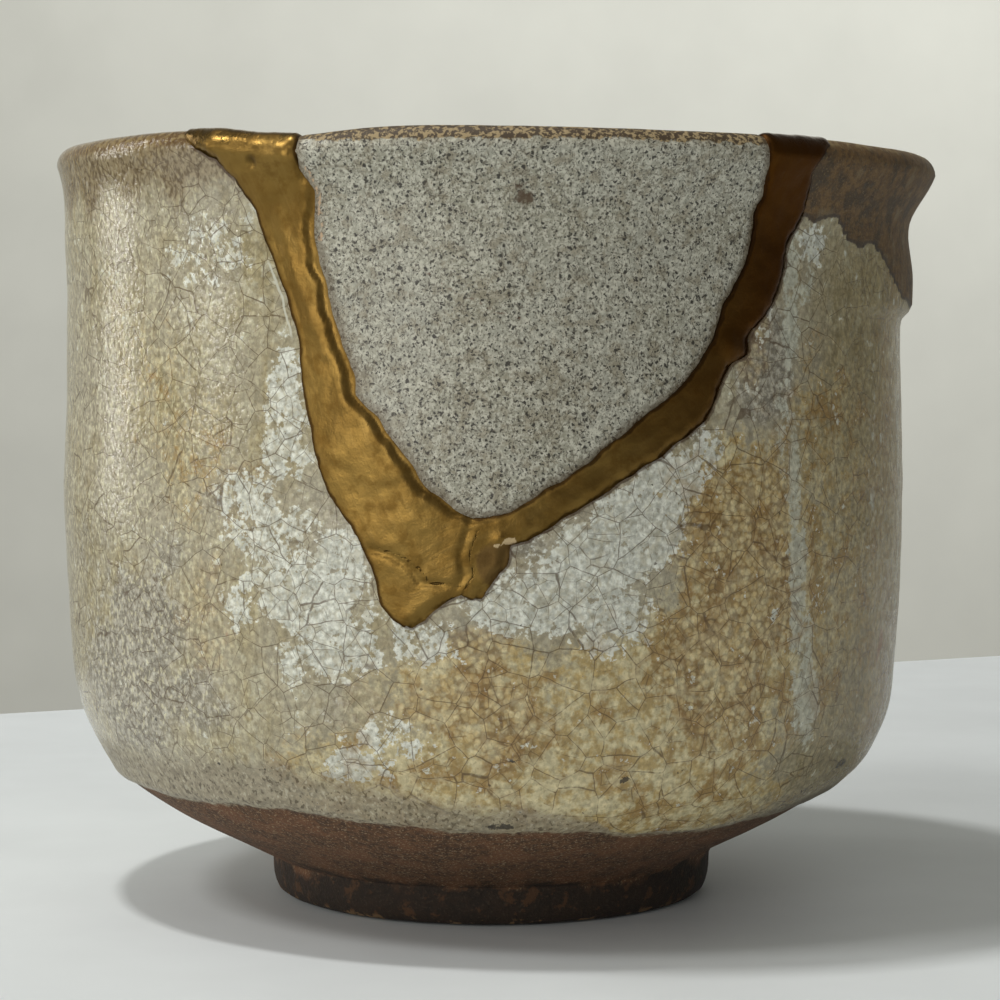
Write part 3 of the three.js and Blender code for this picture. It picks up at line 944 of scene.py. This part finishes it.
# Painted shade: the clay darkens towards the foot, under the bowl; the lighter brown flecks in it are the clay's own.
painted_foot_shade = glaze.fade(glaze.add(height_mm, glaze.times(glaze.add(middle, -0.5), 7)), 4.4, 6.2, 1.0, 0.0)
clay = glaze.mix(glaze.times(painted_foot_shade, 0.9), clay, linear(26, 18, 9))
foot_fleck = glaze.times(painted_foot_shade, glaze.fade(lump, 0.56, 0.64))
clay = glaze.mix(glaze.times(foot_fleck, 0.6), clay, linear(88, 58, 32))
foot_chip = glaze.times(glaze.fade(height_mm, 1.3, 0.5), glaze.fade(lump, 0.56, 0.6))
clay = glaze.mix(glaze.times(foot_chip, 0.8), clay, linear(128, 102, 70))
edge_uneven = glaze.add(glaze.times(glaze.add(fine, -0.5), 1.4), glaze.times(glaze.add(lump, -0.5), 1.6))
glazed = glaze.fade(glaze.add(glaze.painted("above_edge"), edge_uneven), -0.3, 0.25)
colour = glaze.mix(glazed, clay, colour)

# %% Relief and gloss, and the finished glaze
pebbles = glaze.times(roe_away, glaze.add(glaze.times(left_glints_and_flecks, 0.1), 0.3), -1.0)
soft_relief = glaze.add(pebbles, glaze.times(fine, 0.5), glaze.times(dashes, 0.3))
coarse_relief = glaze.add(glaze.times(grain, 0.9), glaze.times(fine, 1.5), glaze.times(lump, 1.6))
bare = glaze.fade(glaze.painted("above_edge"), -0.2, 0.3, 1.0, 0.0)
matte = glaze.do("MAXIMUM", bare, glaze.times(glaze.painted("brown"), 0.7))
relief = glaze.node("Mix", {0: matte, 2: soft_relief, 3: coarse_relief}).outputs[0]
gloss = glaze.fade(lump, 0.3, 0.7, 0.09, 0.22)
gloss = glaze.add(gloss, glaze.times(ash, 0.1), glaze.times(grey_band, 0.3), glaze.times(olive, 0.12))
roughness = glaze.node("Mix", {0: matte, 2: gloss, 3: 0.82}).outputs[0]
bowl.data.materials.append(glaze.finish(colour, roughness, relief, 0.11, IOR=1.5))
print("nodes in the whole glaze:", len(glaze.tree.nodes))

# %% [markdown]
# ## The speckled shard
#
# The shard's glaze is a pale grey, packed with black iron specks of a few tenths of a millimetre. Its
# lip is worn to a crumbly brown line, and a fine brown crack crosses it near the middle.

# %% Paint the shard's amounts
points, girth, height, radius = places_of(shard)
in_from_edge = distance_inside(shard_edge, girth, height)
hairline = from_line([(-8.5, 80.5), (-3.7, 77.2), (-1.8, 76.6), (0.6, 75.2), (3.5, 74.6)], girth, height)
pale_chip = from_line([(-21.2, 91.6), (-19.9, 88.9), (-19.9, 84.6), (-20.0, 83.4)], girth, height)
paint(shard, "lip", ramp((height + 0.5 * noise_over(points, 1.6, 21) - 94.1) / 0.8))
paint(shard, "edge", np.clip(in_from_edge, 0, 10))
paint(shard, "hairline", np.clip(hairline, 0, 5))
paint(shard, "pale_chip", np.clip(pale_chip, 0, 5))
paint(shard, "brown_spot", splashes(girth, height, [(3.9, 88, 1.2, 0.9, 1), (3.5, 89.2, 0.9, 0.7, 0.7)]))

# %% Mix the speckled glaze
grey = Bench("iron_speckled_glaze")
cloud = grey.noise(7, 3)
mottle = grey.noise(1.8, 3, 0.65, shift=6)
grain = grey.noise(0.55, 3, 0.65, shift=2)
jitter = grey.bent(0.5, 0.9)
ground = grey.mix(grey.fade(cloud, 0.35, 0.65), linear(152, 150, 133), linear(162, 161, 147))
ground = grey.mix(grey.fade(grain, 0.42, 0.62), ground, linear(196, 194, 178))
ground = grey.mix(grey.times(grey.fade(mottle, 0.48, 0.66), 0.55), ground, linear(132, 122, 98))
big_specks = grey.specks(0.95, 0.27, 0.5, of=jitter)
middle_specks = grey.specks(0.52, 0.2, 0.6, 5.0, of=jitter)
dust = grey.fade(grey.noise((0.26, 0.26, 0.34), 2, 0.7, shift=8), 0.53, 0.60)
speckle = grey.do("MAXIMUM", big_specks, middle_specks)
colour = grey.mix(grey.times(dust, 0.68), ground, linear(62, 54, 40))
colour = grey.mix(grey.times(speckle, 0.92), colour, linear(34, 29, 22))
net = grey.times(grey.near(grey.net(2.6, grey.bent(3.0, 0.7)), 0.07), grey.fade(mottle, 0.4, 0.55))
colour = grey.mix(grey.times(net, 0.4), colour, linear(86, 76, 56))
spot = grey.fade(grey.add(grey.painted("brown_spot"), grey.times(grey.add(grain, -0.5), 1.4)), 0.45, 0.85)
colour = grey.mix(grey.times(spot, 0.9), colour, linear(78, 58, 34))
crack = grey.fade(grey.add(grey.painted("hairline"), grey.times(grey.add(grain, -0.5), 0.3)), 0.1, 0.28, 1.0, 0.0)
colour = grey.mix(grey.times(crack, 0.55), colour, linear(98, 66, 42))
uneven = grey.times(grey.add(grain, -0.5), 1.0)
crumble = grey.fade(grey.add(grey.painted("lip"), uneven), 0.35, 0.6)
worn = grey.mix(grey.fade(grain, 0.48, 0.58), linear(66, 52, 32), linear(156, 138, 102))
colour = grey.mix(crumble, colour, worn)
dirt = grey.fade(grey.add(grey.painted("edge"), uneven, grey.times(grey.add(mottle, -0.5), 2.0)), 0.2, 1.6, 0.65, 0.0)
colour = grey.mix(dirt, colour, linear(92, 76, 50))
bare_chip = grey.fade(grey.add(grey.painted("pale_chip"), uneven, grey.times(grey.add(mottle, -0.5), 0.8)), 0.1, 0.3, 1.0, 0.0)
colour = grey.mix(grey.times(bare_chip, 0.85), colour, linear(196, 166, 132))
relief = grey.add(grey.times(grain, 0.8), grey.times(mottle, 0.5))
rough = grey.add(grey.fade(grain, 0.3, 0.7, 0.34, 0.5), grey.times(crumble, 0.25))
shard.data.materials.append(grey.finish(colour, rough, relief, 0.09, IOR=1.5))

# %% [markdown]
# ## Gold on lacquer
#
# The seam is dusted with gold powder and burnished. It is a metal to the eye: warm, satin, with brush
# marks that run along the seam, and dark at its thin edges, where the brown lacquer shows through.

# %% Paint the seam's amounts
SEAM_MIDDLE = [
    (-31, 97), (-27, 91), (-24.5, 84), (-21.6, 76), (-19.4, 68), (-17, 60), (-13, 52), (-9.5, 45),
    (-4, 48), (2, 50), (12, 55.5), (22, 62), (29, 69), (33.5, 76), (36, 83), (37, 90), (37.6, 97),
]
points, girth, height, radius = places_of(seam)


def along_line(line, girth, height):
    """How far along a line each place is, and how far to its side."""
    line = even_steps(line, 1.0)
    gaps = (girth[:, None] - line[None, :, 0]) ** 2 + (height[:, None] - line[None, :, 1]) ** 2
    near = np.exp(-(gaps - gaps.min(1)[:, None]) / 14)
    return (near * np.arange(len(line))).sum(1) / near.sum(1), np.sqrt(gaps.min(1))


along, across = along_line(SEAM_MIDDLE, girth, height)
thin = np.minimum(distance_inside(bay_edge, girth, height), -distance_inside(shard_edge, girth, height))
tip_crack = np.minimum(*[from_line(crack, girth, height) for crack in TIP_CRACKS])
paint(seam, "along", along)
paint(seam, "across", across)
paint(seam, "from_edge", np.clip(thin, -1, 5))
paint(seam, "crack", np.clip(tip_crack, 0, 5))
paint(seam, "worn", splashes(girth, height, WORN))
paint(seam, "pit", splashes(girth, height, [(-28, 92.6, 0.6, 0.5, 1), (-27, 83.6, 0.4, 0.5, 0.8)]))
paint(seam, "flake", splashes(girth, height, [(2.3, 49.4, 0.8, 0.4, 1), (0.8, 48.9, 0.5, 0.3, 0.8)]))
# How far to the right each place lies, for the painted shade on the seam's right leg.
paint(seam, "painted_shade_right_leg", ramp((girth - 4) / 34))

# %% Mix the gold
gold = Bench("burnished_gold_lacquer")
brushed = gold.node("CombineXYZ", {0: gold.painted("along"), 1: gold.painted("across"), 2: 0.0}).outputs[0]
strokes = gold.noise((7, 0.6, 1), 3, of=brushed)
broad = gold.noise(6, 3)
blotch = gold.noise(1.9, 4, 0.6, shift=4)
powder = gold.noise(0.3, 2, shift=5)
base = gold.mix(gold.fade(broad, 0.35, 0.65), linear(130, 104, 54), linear(116, 90, 44))
base = gold.mix(gold.times(gold.fade(strokes, 0.45, 0.7), 0.25), base, linear(142, 116, 66))
base = gold.mix(gold.times(gold.fade(blotch, 0.5, 0.68), 0.6), base, linear(104, 78, 34))
# Painted shade: the right leg of the seam is darkened, as it lies away from the light.
base = gold.mix(gold.times(gold.painted("painted_shade_right_leg"), 0.9), base, linear(66, 34, 5))
worn = gold.fade(gold.add(gold.painted("worn"), gold.times(gold.add(blotch, -0.5), 1.2)), 0.35, 0.75)
base = gold.mix(gold.times(worn, 0.7), base, linear(100, 78, 48))
edge = gold.add(gold.painted("from_edge"), gold.times(gold.add(blotch, -0.5), 0.9))
base = gold.mix(gold.fade(edge, -0.15, 0.12, 0.8, 0.0), base, linear(50, 32, 16))
crack = gold.fade(gold.add(gold.painted("crack"), gold.times(gold.add(powder, -0.5), 0.1)), 0.06, 0.2, 1.0, 0.0)
base = gold.mix(gold.times(gold.do("MAXIMUM", crack, gold.painted("pit")), 0.6), base, linear(44, 30, 14))
flake = gold.fade(gold.add(gold.painted("flake"), gold.times(gold.add(powder, -0.5), 0.8)), 0.35, 0.6)
base = gold.mix(gold.times(flake, 0.8), base, linear(214, 190, 150))
relief = gold.add(gold.times(strokes, 0.2), gold.times(blotch, 0.5), gold.times(powder, 0.12), gold.times(crack, -0.8))
rough = gold.add(gold.fade(blotch, 0.35, 0.7, 0.34, 0.5), gold.fade(edge, 0.0, 0.4, 0.2, 0.0), gold.times(worn, 0.15))
height_mm = gold.node("SeparateXYZ", {0: gold.mm}).outputs[2]
rough = gold.add(rough, gold.fade(height_mm, 93.0, 95.5, 0.0, -0.12))
seam.data.materials.append(gold.finish(base, rough, relief, 0.15, Metallic=1.0))

# %% [markdown]
# ## The three pieces stand for their solids
#
# Each piece takes the place of its solid and rides on the one body there is. The cutters have done
# their work and go.

# %% Put the pieces in the frame
STANDS_FOR = [
    (bowl, "bowl_body", "crackled_glaze"),
    (shard, "grey_shard", "speckled_glaze"),
    (seam, "gold_seam", "gold_lacquer"),
]
for piece, node, finish_slot in STANDS_FOR:
    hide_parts(node)
    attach(piece, "root")
for tool in [thing for thing in bpy.data.objects if "cutter" in thing.name or thing.name.startswith("lap_")]:
    bpy.data.objects.remove(tool)

# %% [markdown]
# ## Table, backdrop, light and camera
#
# The bowl stands on a pale table in front of a pale grey wall. The table ends a little way behind the
# bowl. Soft light falls from the left and from above, so the right of the bowl is in shade.


# %% Table and backdrop
def plain_material(name, colour, roughness, grain, depth):
    bench = Bench(name)
    tone = bench.fade(bench.noise(grain, 3), 0.2, 0.8, 0.96, 1.03)
    flat = bench.mix(0.0, linear(*colour), linear(*colour))
    return bench.finish(bench.shade(flat, tone), bench.fade(bench.noise(grain), 0, 1, roughness, roughness), bench.noise(1.5), depth)


def slab(name, corners, thickness, material):
    work = bmesh.new()
    face = work.faces.new([work.verts.new(Vector(corner)) for corner in corners])
    raised = bmesh.ops.extrude_face_region(work, geom=[face])["geom"]
    lifted = [part for part in raised if isinstance(part, bmesh.types.BMVert)]
    bmesh.ops.translate(work, verts=lifted, vec=(0, 0, -thickness))
    bmesh.ops.recalc_face_normals(work, faces=work.faces)
    bmesh.ops.bevel(
        work, geom=list(work.edges), offset=0.003, segments=3, profile=0.5, affect="EDGES", material=-1
    )
    made = finished(work, name)
    made.data.materials.append(material)
    return made


table = slab(
    "table",
    [(-1.6, -1.4, 0), (1.6, -1.4, 0), (1.6, 1.0016, 0), (-1.6, -0.5532, 0)],
    0.03,
    plain_material("white_table", (222, 228, 231), 0.6, 30, 0.01),
)
wall = slab(
    "backdrop",
    [(-4, 1.3, 2.4), (4, 1.3, 2.4), (4, 1.302, 2.4), (-4, 1.302, 2.4)],
    3.6,
    plain_material("grey_wall", (212, 213, 204), 0.9, 60, 0.01),
)


# %% Lights
def soft_light(name, place, width, height, watts, tint=(1, 1, 1)):
    data = bpy.data.lights.new(name, "AREA")
    data.shape = "RECTANGLE"
    data.size = width
    data.size_y = height
    data.energy = watts
    data.color = tint
    lamp = bpy.data.objects.new(name, data)
    bpy.context.scene.collection.objects.link(lamp)
    lamp.location = place
    lamp.rotation_euler = (Vector((0, 0, 0.05)) - Vector(place)).to_track_quat("-Z", "Y").to_euler()
    return lamp


soft_light("window_back_left", (-0.95, 0.40, 0.34), 0.04, 0.7, 1.4, (1, 0.98, 0.93))
soft_light("window_front_left", (-0.95, -0.24, 0.3), 0.08, 0.4, 1.2, (1, 0.98, 0.93))
soft_light("lamp_left", (-0.55, -0.30, 0.75), 0.2, 0.2, 2.2, (1, 0.98, 0.94))
soft_light("lamp_above", (-0.25, -0.09, 1.1), 0.08, 0.08, 4.6, (1, 0.98, 0.94))
soft_light("room_in_front", (-0.55, -1.1, 0.3), 0.7, 0.5, 4.0, (1, 0.97, 0.91))
wash = soft_light("wall_wash", (0.35, 0.75, 0.7), 1.2, 0.2, 6.2)
wash.rotation_euler = (Vector((0.25, 1.3, 0.26)) - wash.location).to_track_quat("-Z", "Y").to_euler()
world = bpy.data.worlds.new("room")
world.use_nodes = True
world.node_tree.nodes["Background"].inputs["Color"].default_value = (1.0, 0.98, 0.94, 1)
world.node_tree.nodes["Background"].inputs["Strength"].default_value = 0.2
bpy.context.scene.world = world
bpy.context.scene.view_settings.view_transform = "Standard"

# %% Camera
camera_data = bpy.data.cameras.new("camera")
camera_data.sensor_width = 36
camera_data.lens = 101.1
camera_data.clip_start = 0.01
camera_data.clip_end = 20
camera = bpy.data.objects.new("camera", camera_data)
bpy.context.scene.collection.objects.link(camera)
camera.location = (0.001186, -0.370, 0.07115)
camera.rotation_euler = (math.pi / 2 - 0.054, 0, 0)
bpy.context.scene.camera = camera
